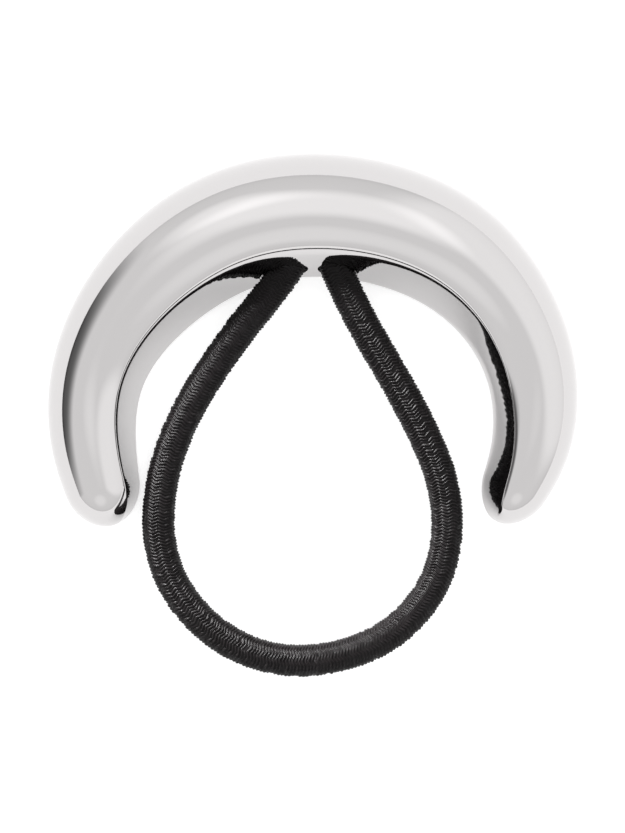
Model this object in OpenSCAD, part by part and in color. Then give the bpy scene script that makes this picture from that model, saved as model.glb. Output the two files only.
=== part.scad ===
// Hair tie: a puffed metal crescent with a loop of round elastic fixed in its inner face.
// It lies on its flat back. X runs across the crescent, Y from its tips to its crown,
// and Z up from the back to the dome. The origin is the middle of the crescent's box, at the back.

/* [Crescent] */
// Height of the dome against its drawn height
dome_puff = 1.0; // [0.9:0.05:1.1]
// Depth of the back below the widest line, in half widths
back_depth = 0.4; // [0.3:0.05:0.5]
// Rounding of the back's outer edge, in half widths
back_corner = 0.45; // [0.3:0.05:0.6]
// Length over which each tip rounds off
tip_round = 4.7; // [4:0.1:5.5]
/* [Elastic] */
// Thickness of the elastic
elastic_d = 4.0; // [3:0.1:4.2]
// Gap all round between the elastic and its socket
socket_gap = 0.1; // [0.1:0.05:0.2]
/* [Smoothness] */
// Rings along the crescent for each section in its table
rings_per_section = 5; // [4:1:6]
// Steps round the dome from the inner ridge to the outer side
dome_steps = 18; // [14:2:22]
/* [Hidden] */

// Sections of the crescent from the left tip over the crown to the right tip. Its middle line
// is drawn towards these places, and the other columns follow the same smooth curve.
// Columns: place along X, place along Y, half width, and then in half widths the dome's rise
// above the widest line, the distance from the middle to where it turns over into the inner
// ridge, the rounding of that ridge, and the rounding of the inner foot
SECTIONS = [
    [-24.4, -22.8, 4.0, 1.4, 0.7, 0.2, 0.1],
    [-27.3, -13.4, 5.3, 1.22, 0.55, 0.3, 0.15],
    [-27.1, -4.5, 5.6, 1.2, 0.47, 0.4, 0.2],
    [-23.1, 3.5, 6.5, 1.2, 0.47, 0.4, 0.2],
    [-16.5, 10.2, 7.3, 1.25, 0.47, 0.45, 0.2],
    [-8.4, 14.6, 7.6, 1.32, 0.44, 0.6, 0.3],
    [1.1, 15.8, 7.6, 1.32, 0.4, 0.7, 0.3],
    [10.5, 14.2, 7.5, 1.4, 0.44, 0.6, 0.3],
    [18.6, 10.2, 7.1, 1.4, 0.47, 0.5, 0.42],
    [24.6, 3.2, 6.1, 1.3, 0.48, 0.4, 0.58],
    [27.7, -5.0, 5.5, 1.2, 0.54, 0.4, 0.57],
    [27.3, -14.0, 4.9, 1.25, 0.4, 0.3, 0.48],
    [22.6, -22.3, 3.5, 1.4, 0.0, 0.2, 0.3],
];
HALF_WIDTH = 2;
RISE = 3;
RIDGE_AT = 4;
RIDGE_ROUND = 5;
FOOT_ROUND = 6;

// Middle of the elastic from its left socket round the loop to its right socket. It leaves the
// metal level, comes down along both strands, and its far half lies on the ground.
// Columns: X, Y, Z
ROUTE = [
    [-1.7, 10.5, 5.0],
    [-5.0, 5.9, 5.0],
    [-8.6, 1.4, 4.6],
    [-11.7, -2.9, 4.0],
    [-14.5, -7.3, 3.5],
    [-16.6, -11.6, 3.0],
    [-18.1, -16.0, 2.6],
    [-18.8, -20.5, 2.3],
    [-18.7, -24.8, 2.1],
    [-17.5, -29.0, 2.0],
    [-15.2, -32.7, 2.0],
    [-11.9, -35.9, 2.0],
    [-7.8, -38.2, 2.0],
    [-3.4, -39.3, 2.0],
    [1.1, -39.2, 2.0],
    [5.6, -38.1, 2.0],
    [9.7, -36.0, 2.0],
    [13.0, -32.9, 2.0],
    [15.3, -29.2, 2.0],
    [16.4, -25.0, 2.1],
    [16.5, -20.6, 2.2],
    [15.6, -16.2, 2.5],
    [14.0, -12.2, 2.9],
    [11.9, -8.0, 3.4],
    [9.6, -3.9, 3.9],
    [7.2, 0.2, 4.4],
    [5.6, 3.1, 4.8],
    [4.2, 5.9, 5.0],
    [2.1, 10.5, 5.0],
];
ELASTIC_SIDES = 12;
// Length of each socket's drill, enough to leave the metal
SOCKET_DRILL = 8;
// Steps round the inner ridge and each edge of the back, along each rounded tip, and round the
// upper side of the foot
CORNER_STEPS = 5;
TIP_STEPS = 7;
FOOT_STEPS = 3;

LAST = len(SECTIONS) - 1;
// One more row past each end makes the curve start at the first section and end at the last
GUIDE = concat(
    [2 * SECTIONS[0] - SECTIONS[1]],
    SECTIONS,
    [2 * SECTIONS[LAST] - SECTIONS[LAST - 1]]
);

// Point on a round of the inner side where its surface has a given slope, in degrees from level
function on_round(centre, radius, slope) = centre + radius * [-sin(slope), cos(slope)];

// Outline of a section in half widths: inner foot, inner ridge, dome to the outer side, outer
// edge of the back, inner edge of the back. The ridge is a round that the dome runs into, and a
// straight flank touches it and the round of the foot.
function section_shape(rise, ridge, ridge_round, foot) =
    let (top = rise * sqrt(1 - ridge * ridge))
    let (ridge_slope = atan(rise * rise * ridge / top))
    let (ridge_centre = [-ridge, top] - ridge_round * [-sin(ridge_slope), cos(ridge_slope)])
    let (foot_centre = [foot - 1, foot - back_depth])
    let (flank = ridge_centre - foot_centre)
    let (flank_slope = atan2(flank.y, flank.x) - asin((foot - ridge_round) / norm(flank)))
    let (dome_from = acos(ridge))
    concat(
        [for (k = [0 : FOOT_STEPS])
            on_round(foot_centre, foot, 90 + (flank_slope - 90) * k / FOOT_STEPS)],
        [for (k = [0 : CORNER_STEPS - 1])
            on_round(ridge_centre, ridge_round,
                flank_slope + (ridge_slope - flank_slope) * k / CORNER_STEPS)],
        [for (k = [0 : dome_steps]) let (a = dome_from + (180 - dome_from) * k / dome_steps)
            [-cos(a), rise * sin(a)]],
        [for (k = [1 : CORNER_STEPS]) let (a = 180 + 90 * k / CORNER_STEPS)
            [1 - back_corner - back_corner * cos(a), back_depth * sin(a)]],
        [for (k = [0 : CORNER_STEPS - 1])
            on_round(foot_centre, foot, 180 - 90 * k / CORNER_STEPS)]
    );

// Shares of four neighbouring sections at step t of a span, and how these shares change
function spline_shares(t) =
    [pow(1 - t, 3), 3 * pow(t, 3) - 6 * t * t + 4, -3 * pow(t, 3) + 3 * t * t + 3 * t + 1, pow(t, 3)] / 6;
function spline_slopes(t) =
    [-pow(1 - t, 2), 3 * t * t - 4 * t, -3 * t * t + 2 * t + 1, t * t] / 2;

// The table's columns at u, which runs from 0 at the left tip to LAST at the right tip
function along(u) =
    let (i = min(floor(u), LAST - 1))
    spline_shares(u - i) * [for (k = [0 : 3]) GUIDE[i + k]];
// Direction out of the crescent's arc at u
function outward(u) =
    let (i = min(floor(u), LAST - 1))
    let (d = spline_slopes(u - i) * [for (k = [0 : 3]) GUIDE[i + k]])
    [-d.y, d.x] / norm([d.x, d.y]);

function flat_xy(row) = [row.x, row.y];
// Share of the full section at u, which falls to nothing at each tip
function tip_share(u) =
    let (from_left = norm(flat_xy(along(u)) - flat_xy(along(0))))
    let (from_right = norm(flat_xy(along(u)) - flat_xy(along(LAST))))
    let (e = 1 - min(1, min(from_left, from_right) / tip_round))
    sqrt(1 - e * e);

// Steps along the crescent: close together in the round of each tip, even between them
function tip_steps(reach) =
    [for (k = [1 : TIP_STEPS]) reach * (1 - cos(90 * k / TIP_STEPS))];
TIP_LEFT = tip_round / norm(flat_xy(SECTIONS[1] - SECTIONS[0]));
TIP_RIGHT = tip_round / norm(flat_xy(SECTIONS[LAST] - SECTIONS[LAST - 1]));
MIDDLE_STEPS = rings_per_section * LAST;
STEPS = concat(
    tip_steps(TIP_LEFT),
    [for (k = [1 : MIDDLE_STEPS - 1])
        TIP_LEFT + (LAST - TIP_LEFT - TIP_RIGHT) * k / MIDDLE_STEPS],
    [for (k = [TIP_STEPS - 1 : -1 : 0]) LAST - tip_steps(TIP_RIGHT)[k]]
);

// One ring of the crescent's skin at u, standing square to its middle line
function crescent_ring(u) =
    let (row = along(u), out = outward(u), share = tip_share(u), w = row[HALF_WIDTH])
    let (rise = dome_puff * row[RISE])
    [for (p = section_shape(rise, row[RIDGE_AT], row[RIDGE_ROUND], row[FOOT_ROUND]))
        [row.x + out.x * w * share * p.x, row.y + out.y * w * share * p.x,
         w * (back_depth + share * p.y)]];
function tip_point(u) =
    let (row = along(u))
    [row.x, row.y, row[HALF_WIDTH] * back_depth];

// Side faces between rings of n points, the first ring's points starting at index first
function skin_faces(rings, n, first) =
    [for (i = [0 : rings - 2], j = [0 : n - 1])
        let (a = first + i * n, b = a + n, k = (j + 1) % n)
        [a + j, a + k, b + k, b + j]];

// Direction of the elastic at a point of its route
function route_heading(i) =
    let (d = ROUTE[min(i + 1, len(ROUTE) - 1)] - ROUTE[max(i - 1, 0)])
    d / norm(d);
// One ring of the elastic, square to its route
function elastic_ring(i) =
    let (d = route_heading(i), side = [d.y, -d.x, 0] / norm([d.x, d.y]), up = cross(side, d))
    [for (k = [0 : ELASTIC_SIDES - 1]) let (a = 360 * k / ELASTIC_SIDES)
        ROUTE[i] + elastic_d / 2 * (cos(a) * side + sin(a) * up)];

// Closed polished shell, full in the crown and slim at the tips
module crescent_body() {
    n = len(crescent_ring(0));
    rings = len(STEPS);
    end = 1 + (rings - 1) * n;
    points = concat(
        [tip_point(0)],
        [for (u = STEPS) for (p = crescent_ring(u)) p],
        [tip_point(LAST)]
    );
    faces = concat(
        [for (j = [0 : n - 1]) [0, 1 + (j + 1) % n, 1 + j]],
        skin_faces(rings, n, 1),
        [for (j = [0 : n - 1]) [len(points) - 1, end + j, end + (j + 1) % n]]
    );
    polyhedron(points, faces);
}

// Blind round socket for one end of the elastic, drilled along its first straight stretch.
// Its flat bottom lies the same small gap behind the end of the elastic.
module socket(end, next) {
    d = (next - end) / norm(next - end);
    translate(end - socket_gap * d)
        rotate([0, 90, atan2(d.y, d.x)])
            cylinder(d = elastic_d + 2 * socket_gap, h = SOCKET_DRILL, $fn = 48);
}

module crescent() {
    color("silver")
        difference() {
            crescent_body();
            socket(ROUTE[0], ROUTE[1]);
            socket(ROUTE[len(ROUTE) - 1], ROUTE[len(ROUTE) - 2]);
        }
}

// Round elastic swept along its route, with both ends inside their sockets
module elastic_loop() {
    rings = len(ROUTE);
    n = ELASTIC_SIDES;
    color("#1c1a1b")
        polyhedron(
            [for (i = [0 : rings - 1]) for (p = elastic_ring(i)) p],
            concat(
                [[for (j = [0 : n - 1]) n - 1 - j]],
                skin_faces(rings, n, 0),
                [[for (j = [0 : n - 1]) (rings - 1) * n + j]]
            )
        );
}

crescent();
elastic_loop();
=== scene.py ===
# %% [markdown]
# # A hair tie: a mirror-polished metal crescent with a loop of covered elastic
#
# The object is two things. One is a closed metal shell in the shape of a crescent, puffed like a
# cushion and polished until it mirrors everything round it. The other is a thick black elastic in
# a braided cover, which leaves the crescent's inner face, goes round, and comes back to it.
#
# The lesson builds them around a model that already has the true sizes. It is loaded as a fixed
# frame, in metres, lying on the ground at height zero. X runs across the crescent, Y from its tips
# to its crown, and Z up towards the camera.

# %% Load the frame
import math

import bpy
import numpy as np
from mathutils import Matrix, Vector


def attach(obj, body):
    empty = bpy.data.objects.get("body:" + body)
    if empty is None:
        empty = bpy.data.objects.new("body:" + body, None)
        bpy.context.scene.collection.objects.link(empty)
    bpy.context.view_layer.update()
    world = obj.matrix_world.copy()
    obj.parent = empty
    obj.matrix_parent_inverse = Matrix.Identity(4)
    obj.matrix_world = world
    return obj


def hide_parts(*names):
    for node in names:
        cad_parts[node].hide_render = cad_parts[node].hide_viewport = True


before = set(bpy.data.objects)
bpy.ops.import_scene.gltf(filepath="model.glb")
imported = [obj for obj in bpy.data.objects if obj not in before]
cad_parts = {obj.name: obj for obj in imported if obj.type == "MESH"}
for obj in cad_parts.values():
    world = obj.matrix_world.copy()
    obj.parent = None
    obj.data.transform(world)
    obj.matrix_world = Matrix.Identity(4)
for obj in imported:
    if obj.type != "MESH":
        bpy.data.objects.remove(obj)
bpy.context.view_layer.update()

MM = 0.001
scene = bpy.context.scene

# %% [markdown]
# ## The camera
#
# The view is from straight above, centred on the whole tie, through a long lens. A long lens far
# away keeps the thickness of the object from spreading its outline. The sensor's long side is the
# picture's height, so the distance follows from how many millimetres that height has to show.

# %% Camera
PICTURE_HEIGHT_PX = 833
PX_PER_MM = 8.154
LENS_MM = 160
SENSOR_MM = 36
WIDEST_LEVEL = 3 * MM
VIEW_CENTRE = (0.04 * MM, -9.38 * MM)

field_height = PICTURE_HEIGHT_PX / PX_PER_MM * MM
camera_distance = field_height * LENS_MM / SENSOR_MM

camera_data = bpy.data.cameras.new("camera")
camera_data.lens = LENS_MM
camera_data.sensor_width = SENSOR_MM
camera = bpy.data.objects.new("camera", camera_data)
camera.location = (*VIEW_CENTRE, WIDEST_LEVEL + camera_distance)
scene.collection.objects.link(camera)
scene.camera = camera
print("camera is", round(camera_distance / MM), "mm above the object")

# %% [markdown]
# ## The elastic's route
#
# The elastic is a cord of one fixed length, so its route comes first. The points lie on its middle
# line, from the bottom of the left pocket round the loop to the bottom of the right one. It leaves
# the metal level, comes down along both strands, and its far half lies on the ground. A smooth
# curve is drawn through the points, and measured off at even steps, so that whatever is laid along
# it later keeps its true length.

# %% Route
ROUTE = [
    (-0.0017, 0.0105, 0.0050),
    (-0.0050, 0.0059, 0.0050),
    (-0.0086, 0.0014, 0.0046),
    (-0.0117, -0.0029, 0.0040),
    (-0.0145, -0.0073, 0.0035),
    (-0.0166, -0.0116, 0.0030),
    (-0.0181, -0.0160, 0.0026),
    (-0.0188, -0.0205, 0.0023),
    (-0.0187, -0.0248, 0.0021),
    (-0.0175, -0.0290, 0.0020),
    (-0.0152, -0.0327, 0.0020),
    (-0.0119, -0.0359, 0.0020),
    (-0.0078, -0.0382, 0.0020),
    (-0.0034, -0.0393, 0.0020),
    (0.0011, -0.0392, 0.0020),
    (0.0056, -0.0381, 0.0020),
    (0.0097, -0.0360, 0.0020),
    (0.0130, -0.0329, 0.0020),
    (0.0153, -0.0292, 0.0020),
    (0.0164, -0.0250, 0.0021),
    (0.0165, -0.0206, 0.0022),
    (0.0156, -0.0162, 0.0025),
    (0.0140, -0.0122, 0.0029),
    (0.0119, -0.0080, 0.0034),
    (0.0096, -0.0039, 0.0039),
    (0.0072, 0.0002, 0.0044),
    (0.0056, 0.0031, 0.0048),
    (0.0042, 0.0059, 0.0050),
    (0.0021, 0.0105, 0.0050),
]


def lengths_along(points):
    """Distance of each point from the first, measured along the line."""
    steps = np.linalg.norm(np.diff(points, axis=0), axis=1)
    return np.concatenate([[0], np.cumsum(steps)])


def at_lengths(points, where):
    """Points at the given lengths along a line."""
    along = lengths_along(points)
    return np.stack([np.interp(where, along, points[:, k]) for k in range(3)], axis=-1)


def curve_through(points, steps=24):
    """Smooth curve through every point, with each tangent set by the two neighbours."""
    p = np.array(points)
    p = np.vstack([2 * p[0] - p[1], p, 2 * p[-1] - p[-2]])
    t = np.linspace(0, 1, steps, endpoint=False)[:, None]
    parts = []
    for a, b, c, d in zip(p, p[1:], p[2:], p[3:]):
        bend = (2 * a - 5 * b + 4 * c - d) * t**2 + (3 * b - a - 3 * c + d) * t**3
        parts.append(b + 0.5 * ((c - a) * t + bend))
    return np.vstack(parts + [p[-2:-1]])


route_line = curve_through(ROUTE)
elastic_length = lengths_along(route_line)[-1]
print("elastic is", round(elastic_length / MM, 1), "mm long")

# %% [markdown]
# ## The braided cover
#
# The cover of such an elastic is a round braid of fine yarn. Its surface is columns of short
# slanted floats, each column leaning the other way from its neighbour, so that they read as small
# chevrons and give the edge a fine saw-tooth. It could be a bump pattern on a plain tube, but then
# the edge would stay smooth. Here the mesh itself follows the yarn: each ring of vertices zigzags
# round the cord with the lean of the floats, and four rings make one float. The pattern keeps its
# true size however the cord bends.

# %% Shape of the cover
ELASTIC_D = 4.0 * MM
FLOAT_PITCH = 0.40 * MM
FLOAT_LEAN = 0.16 * MM
YARN_RELIEF = 0.24 * MM
COLUMNS = 16
STEPS_ACROSS = 4
# Height of the yarn at the four rings of one float, and at the four steps across one column
FLOAT_PROFILE = np.array([0.0, 0.5, 1.0, 0.6])
COLUMN_PROFILE = np.array([0.75, 1.0, 1.0, 1.0])

float_count = round(elastic_length / FLOAT_PITCH)
ring_count = float_count * len(FLOAT_PROFILE) + 1
around = COLUMNS * STEPS_ACROSS
print(float_count, "floats in each of", COLUMNS, "columns;", ring_count * around, "vertices")


def frames_along(line):
    """Sideways and upward directions at each point of a line that stays nearly level."""
    ahead = np.gradient(line, axis=0)
    ahead /= np.linalg.norm(ahead, axis=1)[:, None]
    side = np.cross(ahead, [0, 0, 1])
    side /= np.linalg.norm(side, axis=1)[:, None]
    return side, np.cross(side, ahead)


# %% [markdown]
# Every vertex has a ring number and a place round the cord. Its lean moves it along the cord, and
# its two profiles move it in or out. Real yarn isn't quite even, so each float also gets its own
# small difference in height, and the whole cord is a little thicker and thinner along its length.
# Where the cord lies on the ground, its lowest yarn is pressed flat.

# %% Cover vertices
SPINE_POINTS = 1200
FLOAT_UNEVENNESS = 0.3
TALLEST_FLOAT = 1.2
# Columns: how much thicker and thinner the cord gets, and over what length
SWELLS = [(0.02 * MM, 17 * MM), (0.015 * MM, 5.3 * MM)]

chance = np.random.default_rng(4)
spine_steps = np.linspace(0, elastic_length, SPINE_POINTS)
spine = at_lengths(route_line, spine_steps)
side_way, up_way = frames_along(spine)

ring = np.arange(ring_count)[:, None]
place = np.arange(around)[None, :]
column = place // STEPS_ACROSS
# From minus one at one side of a column towards one at its other side
across = (place % STEPS_ACROSS) / STEPS_ACROSS * 2 - 1

lean = FLOAT_LEAN * across * np.where(column % 2 == 0, 1, -1)
length_at = np.clip(ring / (ring_count - 1) * elastic_length + lean, 0, elastic_length)

float_number = np.minimum(ring // len(FLOAT_PROFILE), float_count - 1)
unevenness = 1 + FLOAT_UNEVENNESS * chance.standard_normal((float_count, COLUMNS))
lift = FLOAT_PROFILE[ring % len(FLOAT_PROFILE)] * COLUMN_PROFILE[place % STEPS_ACROSS]
lift = lift * unevenness[float_number, column]
swell = sum(depth * np.sin(length_at / reach) for depth, reach in SWELLS)
radius = ELASTIC_D / 2 + swell - YARN_RELIEF * (1 - np.clip(lift, 0, TALLEST_FLOAT))

angle = 2 * math.pi * place / around


def spread(values):
    """Values of a line's points, read off at every vertex's own length along it."""
    return np.stack([np.interp(length_at, spine_steps, values[:, k]) for k in range(3)], axis=-1)


cover_points = spread(spine) + radius[..., None] * (
    np.cos(angle)[..., None] * spread(side_way) + np.sin(angle)[..., None] * spread(up_way)
)
cover_points[..., 2] = np.maximum(cover_points[..., 2], 0)
print("cover's radius is", round(radius.min() / MM, 2), "to", round(radius.max() / MM, 2), "mm")

# %% [markdown]
# One helper turns rows of points into a tube. It is used for the elastic and again for the metal.
# It also lays a small map on the mesh, round the tube first and then along it, which tells the
# yarn's material which way the filaments run.

# %% Tube mesh
ROUND_MAP = "round_then_along"


def tube_object(name, rows, start, end):
    """Closed tube through rows of points, with one more point at each end."""
    count, size = rows.shape[:2]
    points = np.vstack([rows.reshape(-1, 3), [start, end]])
    i, j = np.meshgrid(np.arange(count - 1), np.arange(size), indexing="ij")
    k = (j + 1) % size
    sides = np.stack([i * size + j, (i + 1) * size + j, (i + 1) * size + k, i * size + k], axis=-1)
    first, last = count * size, count * size + 1
    caps = [(n, (n + 1) % size, first) for n in range(size)]
    top = (count - 1) * size
    caps += [(last, top + (n + 1) % size, top + n) for n in range(size)]
    mesh = bpy.data.meshes.new(name)
    mesh.from_pydata(points.tolist(), [], sides.reshape(-1, 4).tolist() + caps)
    turns = np.stack([j, j, j + 1, j + 1], axis=-1) / size
    steps = np.stack([i, i + 1, i + 1, i], axis=-1) / count
    cap_corners = np.zeros((len(caps) * 3, 2))
    corners = np.vstack([np.stack([turns, steps], axis=-1).reshape(-1, 2), cap_corners])
    mesh.uv_layers.new(name=ROUND_MAP).data.foreach_set("uv", corners.ravel())
    mesh.shade_smooth()
    piece = bpy.data.objects.new(name, mesh)
    scene.collection.objects.link(piece)
    print(name, "has", len(mesh.polygons), "faces")
    return piece


elastic = tube_object("braided_elastic", cover_points, route_line[0], route_line[-1])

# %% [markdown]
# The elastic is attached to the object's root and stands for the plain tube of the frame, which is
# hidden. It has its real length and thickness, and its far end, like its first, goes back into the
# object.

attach(elastic, "root")
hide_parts("elastic_loop")
print(elastic.name, "stands for the frame's elastic_loop")

# %% [markdown]
# ## The crescent
#
# The crescent is drawn as a jeweller would draw it: a middle line and a section across it, taken
# at a few places from tip to tip. A cubic curve eases between them. Every section is a dome that
# turns over a rounded ridge into a steeper flank on the inner side, and stands on a flat back with
# rounded edges. The ridge and the flank change along the arc. The flank's slope decides what it
# mirrors: at about 70 degrees only the white table, and at 58 the black strand as a dark band, as on
# the right arm. A mirror shows every dent, so the mesh is far finer than the frame's own, and its
# outline is the same.

# %% Crescent sections
# Columns: place along X, place along Y, half width, and then in half widths the dome's rise
# above the widest line, the distance from the middle to where it turns over into the inner
# ridge, the rounding of that ridge, and the rounding of the inner foot
SECTIONS = np.array([
    (-0.0244, -0.0228, 0.0040, 1.40, 0.70, 0.20, 0.10),
    (-0.0273, -0.0134, 0.0053, 1.22, 0.55, 0.30, 0.15),
    (-0.0271, -0.0045, 0.0056, 1.20, 0.47, 0.40, 0.20),
    (-0.0231, 0.0035, 0.0065, 1.20, 0.47, 0.40, 0.20),
    (-0.0165, 0.0102, 0.0073, 1.25, 0.47, 0.45, 0.20),
    (-0.0084, 0.0146, 0.0076, 1.32, 0.44, 0.60, 0.30),
    (0.0011, 0.0158, 0.0076, 1.32, 0.40, 0.70, 0.30),
    (0.0105, 0.0142, 0.0075, 1.40, 0.44, 0.60, 0.30),
    (0.0186, 0.0102, 0.0071, 1.40, 0.47, 0.50, 0.42),
    (0.0246, 0.0032, 0.0061, 1.30, 0.48, 0.40, 0.58),
    (0.0277, -0.0050, 0.0055, 1.20, 0.54, 0.40, 0.57),
    (0.0273, -0.0140, 0.0049, 1.25, 0.40, 0.30, 0.48),
    (0.0226, -0.0223, 0.0035, 1.40, 0.00, 0.20, 0.30),
])
BACK_DEPTH = 0.4
BACK_CORNER = 0.45
TIP_ROUND = 4.7 * MM


def eased_curve(rows, steps=40):
    """Smooth curve that is drawn towards each row and starts and ends at the first and last."""
    p = np.vstack([2 * rows[0] - rows[1], rows, 2 * rows[-1] - rows[-2]])
    t = np.linspace(0, 1, steps, endpoint=False)[:, None]
    parts = []
    for a, b, c, d in zip(p, p[1:], p[2:], p[3:]):
        near = (1 - t) ** 3 * a + (3 * t**3 - 6 * t**2 + 4) * b
        far = (-3 * t**3 + 3 * t**2 + 3 * t + 1) * c + t**3 * d
        parts.append((near + far) / 6)
    return np.vstack(parts + [rows[-1:]])


drawn = eased_curve(SECTIONS)
drawn_length = lengths_along(drawn[:, :2])
middle_length = drawn_length[-1]
print("crescent's middle line is", round(middle_length / MM, 1), "mm long")

# %% [markdown]
# The rings stand close together in the round of each tip and even in between. Towards a tip the
# section shrinks as a quarter circle does, which closes the shell without a seam.

# %% Rings of the crescent
TIP_RINGS = 40
BODY_RINGS = 500

tip_steps = TIP_ROUND * (1 - np.cos(np.linspace(0, math.pi / 2, TIP_RINGS)))[1:]
body_steps = np.linspace(TIP_ROUND, middle_length - TIP_ROUND, BODY_RINGS)[1:-1]
ring_at = np.concatenate([tip_steps, body_steps, middle_length - tip_steps[::-1]])
row_at = np.stack([np.interp(ring_at, drawn_length, values) for values in drawn.T], axis=-1)
ahead_at = np.stack(
    [np.interp(ring_at, drawn_length, np.gradient(drawn[:, k], drawn_length)) for k in range(2)],
    axis=-1,
)
ahead_at /= np.linalg.norm(ahead_at, axis=1)[:, None]
outward = np.stack([-ahead_at[:, 1], ahead_at[:, 0]], axis=-1)

to_tip = np.minimum(ring_at, middle_length - ring_at)
# Share of its full size that the section has at each ring
share = np.sqrt(1 - (1 - np.minimum(1, to_tip / TIP_ROUND)) ** 2)
print("crescent has", len(ring_at), "rings")

# %% [markdown]
# One section is six pieces that run smoothly into each other: the round of the inner foot, the
# straight flank, the round of the ridge, the dome, the outer edge and the flat. The flank touches
# both rounds as a belt touches two pulleys, so its slope follows from where the rounds stand and
# how big they are.

# %% Outline of a section
DOME_STEPS = 60
RIDGE_STEPS = 24
FLANK_STEPS = 16
CORNER_STEPS = 10
FLAT_STEPS = 10


def on_round(centre, radius, slope):
    """Points on a round of the inner side where its surface has the given slopes."""
    return np.stack(
        [centre[0] - radius * np.sin(slope), centre[1] + radius * np.cos(slope)], axis=-1
    )


def section_outline(rise, ridge_at, ridge_round, foot_round):
    """One section in half widths, from the inner foot over the dome and back along the flat."""
    ridge_top = rise * math.sqrt(1 - ridge_at**2)
    ridge_slope = math.atan(rise**2 * ridge_at / ridge_top)
    ridge = (
        ridge_round * math.sin(ridge_slope) - ridge_at,
        ridge_top - ridge_round * math.cos(ridge_slope),
    )
    foot = (foot_round - 1, foot_round - BACK_DEPTH)
    flank = (ridge[0] - foot[0], ridge[1] - foot[1])
    turn = math.asin((foot_round - ridge_round) / math.hypot(*flank))
    flank_slope = math.atan2(flank[1], flank[0]) - turn
    lower = on_round(foot, foot_round, np.linspace(math.pi / 2, flank_slope, CORNER_STEPS + 1))
    upper = on_round(ridge, ridge_round, np.linspace(flank_slope, ridge_slope, RIDGE_STEPS + 1))
    straight = np.linspace(lower[-1], upper[0], FLANK_STEPS + 1)[1:-1]
    angle = np.linspace(math.acos(ridge_at), math.pi, DOME_STEPS + 1)[1:]
    dome = np.stack([-np.cos(angle), rise * np.sin(angle)], axis=-1)
    angle = np.linspace(math.pi, 1.5 * math.pi, CORNER_STEPS + 1)[1:]
    outer = np.stack(
        [1 - BACK_CORNER - BACK_CORNER * np.cos(angle), BACK_DEPTH * np.sin(angle)], axis=-1
    )
    under = on_round(foot, foot_round, np.linspace(math.pi, math.pi / 2, CORNER_STEPS + 1)[:-1])
    flat = np.linspace(outer[-1], under[0], FLAT_STEPS + 1)[1:-1]
    return np.vstack([lower, straight, upper, dome, outer, flat, under])


outlines = np.stack([section_outline(*row[3:]) for row in row_at])
print("each section has", outlines.shape[1], "points")

# %% [markdown]
# Each ring lays its own outline square to the middle line, and stands it on the ground.

# %% Crescent mesh
half_width = row_at[:, 2:3]
reach = half_width * share[:, None] * outlines[..., 0]
metal_rows = np.stack(
    [
        row_at[:, :1] + outward[:, :1] * reach,
        row_at[:, 1:2] + outward[:, 1:] * reach,
        half_width * (BACK_DEPTH + share[:, None] * outlines[..., 1]),
    ],
    axis=-1,
)


def tip_point(row):
    """Where the shell closes, at the height of its widest line."""
    return (row[0], row[1], row[2] * BACK_DEPTH)


crescent = tube_object(
    "polished_crescent", metal_rows, tip_point(SECTIONS[0]), tip_point(SECTIONS[-1])
)
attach(crescent, "root")
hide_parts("crescent")

# %% [markdown]
# Both ends of the elastic stand in round pockets drilled into the inner face, 0.1 mm wider and
# deeper than the elastic. They are cut with a boolean, as a drill would, and the rim stays a crisp
# edge.

# %% Pockets
POCKET_GAP = 0.1 * MM
POCKET_DRILL = 8 * MM
DRILL_SIDES = 96
RIM_ANGLE = math.radians(35)


def drill(end, out):
    """Round bar from the pocket's bottom out through the metal's skin."""
    end, out = Vector(end), Vector(out)
    way = (out - end).normalized()
    bpy.ops.mesh.primitive_cylinder_add(
        vertices=DRILL_SIDES,
        radius=ELASTIC_D / 2 + POCKET_GAP,
        depth=POCKET_DRILL,
        location=end + way * (POCKET_DRILL / 2 - POCKET_GAP),
    )
    bar = bpy.context.object
    bar.rotation_mode = "QUATERNION"
    bar.rotation_quaternion = way.to_track_quat("Z", "Y")
    return bar


for end, out in ((ROUTE[0], ROUTE[1]), (ROUTE[-1], ROUTE[-2])):
    bar = drill(end, out)
    cut = crescent.modifiers.new("pocket", "BOOLEAN")
    cut.object = bar
    cut.solver = "EXACT"
    bpy.context.view_layer.objects.active = crescent
    bpy.ops.object.modifier_apply(modifier=cut.name)
    bpy.data.objects.remove(bar)
crescent.data.shade_smooth()
crescent.data.set_sharp_from_angle(angle=RIM_ANGLE)
print("crescent has", len(crescent.data.polygons), "faces with its pockets")

# %% [markdown]
# ## Materials
#
# Colours are written as the hex values a maker would pick on screen, and turned to the linear
# values that light works with. One small helper adds a node with its settings and links.

# %% Material helpers


def linear(hex_colour):
    """Linear red, green, blue and alpha of an sRGB hex colour."""
    parts = [int(hex_colour[k:k + 2], 16) / 255 for k in (1, 3, 5)]
    return [p / 12.92 if p <= 0.04045 else ((p + 0.055) / 1.055) ** 2.4 for p in parts] + [1]


def add(tree, kind, settings=None, links=None, **inputs):
    """Adds a node: its own settings, fixed values for its inputs, and links into its inputs."""
    node = tree.nodes.new(kind)
    for key, value in (settings or {}).items():
        setattr(node, key, value)
    for key, value in inputs.items():
        node.inputs[key.replace("_", " ")].default_value = value
    for key, source in (links or {}).items():
        tree.links.new(source, node.inputs[key])
    return node


def new_material(name):
    """A new material and its emptied node tree."""
    material = bpy.data.materials.new(name)
    material.use_nodes = True
    material.node_tree.nodes.clear()
    return material, material.node_tree


print("mid grey #808080 is", round(linear("#808080")[0], 3), "in linear light")

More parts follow.
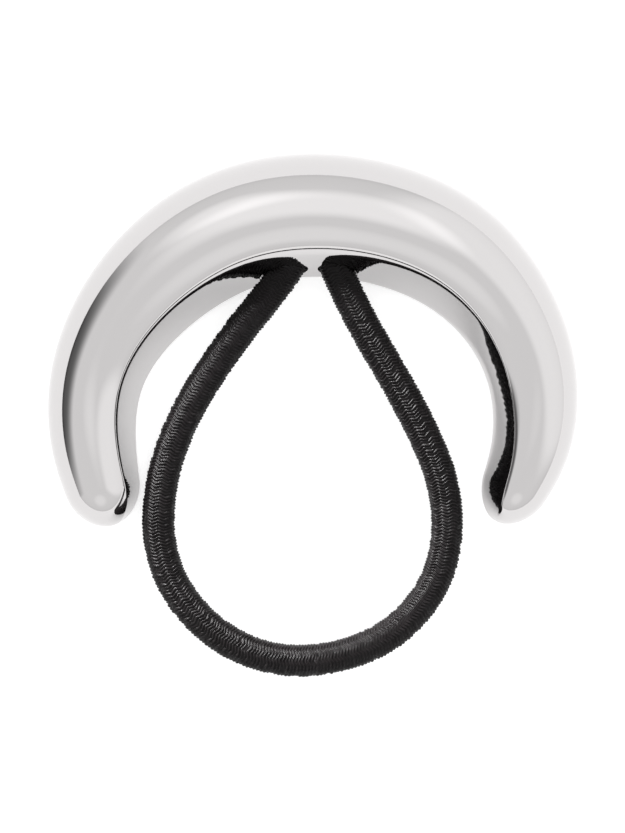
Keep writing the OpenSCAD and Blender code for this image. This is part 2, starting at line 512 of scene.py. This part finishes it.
# %% [markdown]
# ### Mirror-polished plating
#
# The metal is a bright silver-tone plating, such as rhodium or nickel over brass, buffed to a
# mirror. The eye reads it by what it mirrors, and by the slight waviness and the haze of fine
# hairlines that every buffed surface keeps. Its roughness is a few hundredths, as a mirror polish
# has. The waves are some millimetres long. Real hairlines are a few hundredths of a millimetre
# wide, too fine to show, so they are drawn ten times coarser.
# The grey gives back about half of the light, less than clean rhodium does, so that the mirrored
# table isn't burned out and its soft shade shows in the flanks.

# %% Polished metal
PLATING = "#BAB8B8"
WAVE_SIZE = 6 * MM
WAVE_HEIGHT = 0.05 * MM
HAIRLINE = 0.3 * MM

metal, tree = new_material("mirror_polished_plating")
where = add(tree, "ShaderNodeTexCoord").outputs["Object"]
waves = add(tree, "ShaderNodeTexNoise", links={"Vector": where}, Scale=1 / WAVE_SIZE, Detail=1.0)
hairs = add(tree, "ShaderNodeTexNoise", links={"Vector": where}, Scale=1 / HAIRLINE, Detail=2.0)
roughness = add(
    tree, "ShaderNodeMapRange", links={"Value": hairs.outputs["Fac"]}, To_Min=0.02, To_Max=0.06
)
wavy = add(
    tree, "ShaderNodeBump", links={"Height": waves.outputs["Fac"]}, Strength=0.1, Distance=WAVE_HEIGHT
)
shader = add(
    tree,
    "ShaderNodeBsdfPrincipled",
    links={"Roughness": roughness.outputs["Result"], "Normal": wavy.outputs["Normal"]},
    Base_Color=linear(PLATING),
    Metallic=1.0,
)
add(tree, "ShaderNodeOutputMaterial", links={"Surface": shader.outputs["BSDF"]})
crescent.data.materials.clear()
crescent.data.materials.append(metal)
print(metal.name, "gives back", round(linear(PLATING)[0], 2), "of the light")

# %% [markdown]
# ### Covered elastic
#
# The cover is braided from black polyester yarn. Filament yarn is smooth, so a float that faces
# the light shows a small grey glint, and between the floats it is nearly black. The filaments lie
# nearly along the elastic, and a bundle of such fine rods spreads its glint across them, which is
# why the shine reaches so far round: it is stretched along the map's first direction. The IOR is
# polyester's, and the specular level is low, because much of the light is lost between the
# filaments. Real ones are about 0.02 mm thick, too fine to show, so they are drawn four times
# coarser.

# %% Braided yarn
YARN_BLACK = "#0A0909"
YARN_WORN = "#141112"
FILAMENT = 0.08 * MM
FILAMENT_HEIGHT = 0.02 * MM
WORN_PATCH = 1.2 * MM

yarn, tree = new_material("braided_polyester_yarn")
where = add(tree, "ShaderNodeTexCoord").outputs["Object"]
patches = add(tree, "ShaderNodeTexNoise", links={"Vector": where}, Scale=1 / WORN_PATCH, Detail=3.0)
tint = add(
    tree, "ShaderNodeMix", {"data_type": "RGBA"}, links={"Factor": patches.outputs["Fac"]}
)
tint.inputs["A"].default_value = linear(YARN_BLACK)
tint.inputs["B"].default_value = linear(YARN_WORN)
fibres = add(tree, "ShaderNodeTexNoise", links={"Vector": where}, Scale=1 / FILAMENT, Detail=2.0)
fibre_bump = add(
    tree,
    "ShaderNodeBump",
    links={"Height": fibres.outputs["Fac"]},
    Strength=0.25,
    Distance=FILAMENT_HEIGHT,
)
round_way = add(tree, "ShaderNodeTangent", {"direction_type": "UV_MAP", "uv_map": ROUND_MAP})
shader = add(
    tree,
    "ShaderNodeBsdfPrincipled",
    links={"Normal": fibre_bump.outputs["Normal"], "Tangent": round_way.outputs["Tangent"]},
    Roughness=0.3,
    Anisotropic=0.9,
    IOR=1.55,
    Specular_IOR_Level=0.09,
)
tree.links.new(tint.outputs["Result"], shader.inputs["Base Color"])
add(tree, "ShaderNodeOutputMaterial", links={"Surface": shader.outputs["BSDF"]})
elastic.data.materials.append(yarn)
print(yarn.name, "has filaments drawn", round(FILAMENT / MM, 2), "mm thick")

# %% [markdown]
# ## Floor and studio
#
# The tie lies on a light table: a plain white acrylic sheet, matt on top, with a glow of its own
# under the studio's light. Together they are brighter than the picture can hold, so the sheet stays
# white even in the soft shade beside the object. The metal gives back only part of that light, so
# its flanks do show the shade, as a grey that deepens towards the ground.

# %% Floor
FLOOR_SIZE = 6.0
SHEET_WHITE = "#E1E1E1"
SHEET_GLOW = 0.54

bpy.ops.mesh.primitive_plane_add(size=FLOOR_SIZE)
floor = bpy.context.object
floor.name = "floor"
sheet, tree = new_material("white_acrylic_sheet")
shader = add(
    tree,
    "ShaderNodeBsdfPrincipled",
    Base_Color=linear(SHEET_WHITE),
    Roughness=0.9,
    Emission_Color=linear("#FFFFFF"),
    Emission_Strength=SHEET_GLOW,
)
add(tree, "ShaderNodeOutputMaterial", links={"Surface": shader.outputs["BSDF"]})
floor.data.materials.append(sheet)
print("floor is", FLOOR_SIZE, "m across")

# %% [markdown]
# Polished metal shows the whole studio, so the studio has to be drawn with care. It is a tent of
# white cloth, a little dimmer towards the ground. The world's own colour stands for the cloth,
# which is far enough from so small an object to count as endlessly far away.

# %% Light tent
TENT_STRENGTH = 1.18
# Columns: height above the horizon as a share of straight up, brightness
TENT = [(0.0, 0.92), (0.15, 1.0), (0.5, 1.04), (1.0, 1.03)]

world = bpy.data.worlds.new("light_tent")
scene.world = world
world.use_nodes = True
tree = world.node_tree
tree.nodes.clear()
towards = add(tree, "ShaderNodeTexCoord").outputs["Generated"]
height = add(tree, "ShaderNodeSeparateXYZ", links={"Vector": towards}).outputs["Z"]
ramp = add(tree, "ShaderNodeValToRGB", links={"Fac": height})
stops = ramp.color_ramp.elements
while len(stops) < len(TENT):
    stops.new(1.0)
for stop, (share_up, brightness) in zip(stops, TENT):
    stop.position = share_up
    stop.color = (brightness, brightness, brightness, 1)
print("tent's brightness has", len(TENT), "stops from the horizon to straight up")

# %% [markdown]
# Softer and harder patches of light stand in the tent. Each is a round in the sky, found by the
# angle between the way that a ray goes and the way to the patch, and it is added to the tent's own
# light. The last is a black card on the left, a patch that takes light away, and it draws the dark
# edge of the left arm.

# %% Patches of light
# Columns: compass angle from the right, height above the horizon, reach of the full light and of
# its soft edge, all in degrees, and brightness
LIGHTS = [
    (90, 69, 13, 38, 0.34),
    (122, 44, 4, 24, 0.32),
    (20, 25, 36, 55, 0.26),
    (270, 36, 5, 25, 0.15),
    (176, 2, 10, 38, -0.85),
]

total = ramp.outputs["Color"]
for around_deg, up_deg, full_deg, edge_deg, brightness in LIGHTS:
    turn, rise = math.radians(around_deg), math.radians(up_deg)
    aim = add(tree, "ShaderNodeVectorMath", {"operation": "DOT_PRODUCT"}, links={"Vector": towards})
    aim.inputs[1].default_value = (
        math.cos(rise) * math.cos(turn), math.cos(rise) * math.sin(turn), math.sin(rise)
    )
    patch = add(
        tree,
        "ShaderNodeMapRange",
        {"interpolation_type": "SMOOTHSTEP"},
        links={"Value": aim.outputs["Value"]},
        From_Min=math.cos(math.radians(edge_deg)),
        From_Max=math.cos(math.radians(full_deg)),
        To_Max=brightness,
    )
    total = add(
        tree, "ShaderNodeMath", {"operation": "ADD"}, links={0: total, 1: patch.outputs["Result"]}
    ).outputs["Value"]
sky = add(tree, "ShaderNodeBackground", links={"Color": total}, Strength=TENT_STRENGTH)
add(tree, "ShaderNodeOutputWorld", links={"Surface": sky.outputs["Background"]})
scene.view_settings.view_transform = "Standard"
print("studio has", len(LIGHTS), "patches of light")

# %% [markdown]
# Black yarn gives back so little light that its glints need a key light of their own, low on the
# upper left. The lamp is small, so each rib of yarn keeps a crisp glint, and from there the
# crescent shades the strands where they come out of it. In the mirror the same lamp would be a
# hard white patch, so it is linked to the elastic alone.

# %% Key light
KEY_FROM = (125, 28)
KEY_DISTANCE = 400 * MM
KEY_SIZE = 160 * MM
KEY_WATTS = 11.0
KEY_AIM = Vector((0, -10 * MM, 0))

turn, rise = math.radians(KEY_FROM[0]), math.radians(KEY_FROM[1])
key_way = Vector((math.cos(rise) * math.cos(turn), math.cos(rise) * math.sin(turn), math.sin(rise)))
key_data = bpy.data.lights.new("key_light", "AREA")
key_data.shape = "DISK"
key_data.size = KEY_SIZE
key_data.energy = KEY_WATTS
key = bpy.data.objects.new("key_light", key_data)
key.location = KEY_AIM + key_way * KEY_DISTANCE
key.rotation_mode = "QUATERNION"
key.rotation_quaternion = key_way.to_track_quat("Z", "Y")
scene.collection.objects.link(key)
lit_by_key = bpy.data.collections.new("lit_by_key")
lit_by_key.objects.link(elastic)
key.light_linking.receiver_collection = lit_by_key
print("key light is", round(KEY_DISTANCE / MM), "mm away and", round(KEY_SIZE / MM), "mm across")
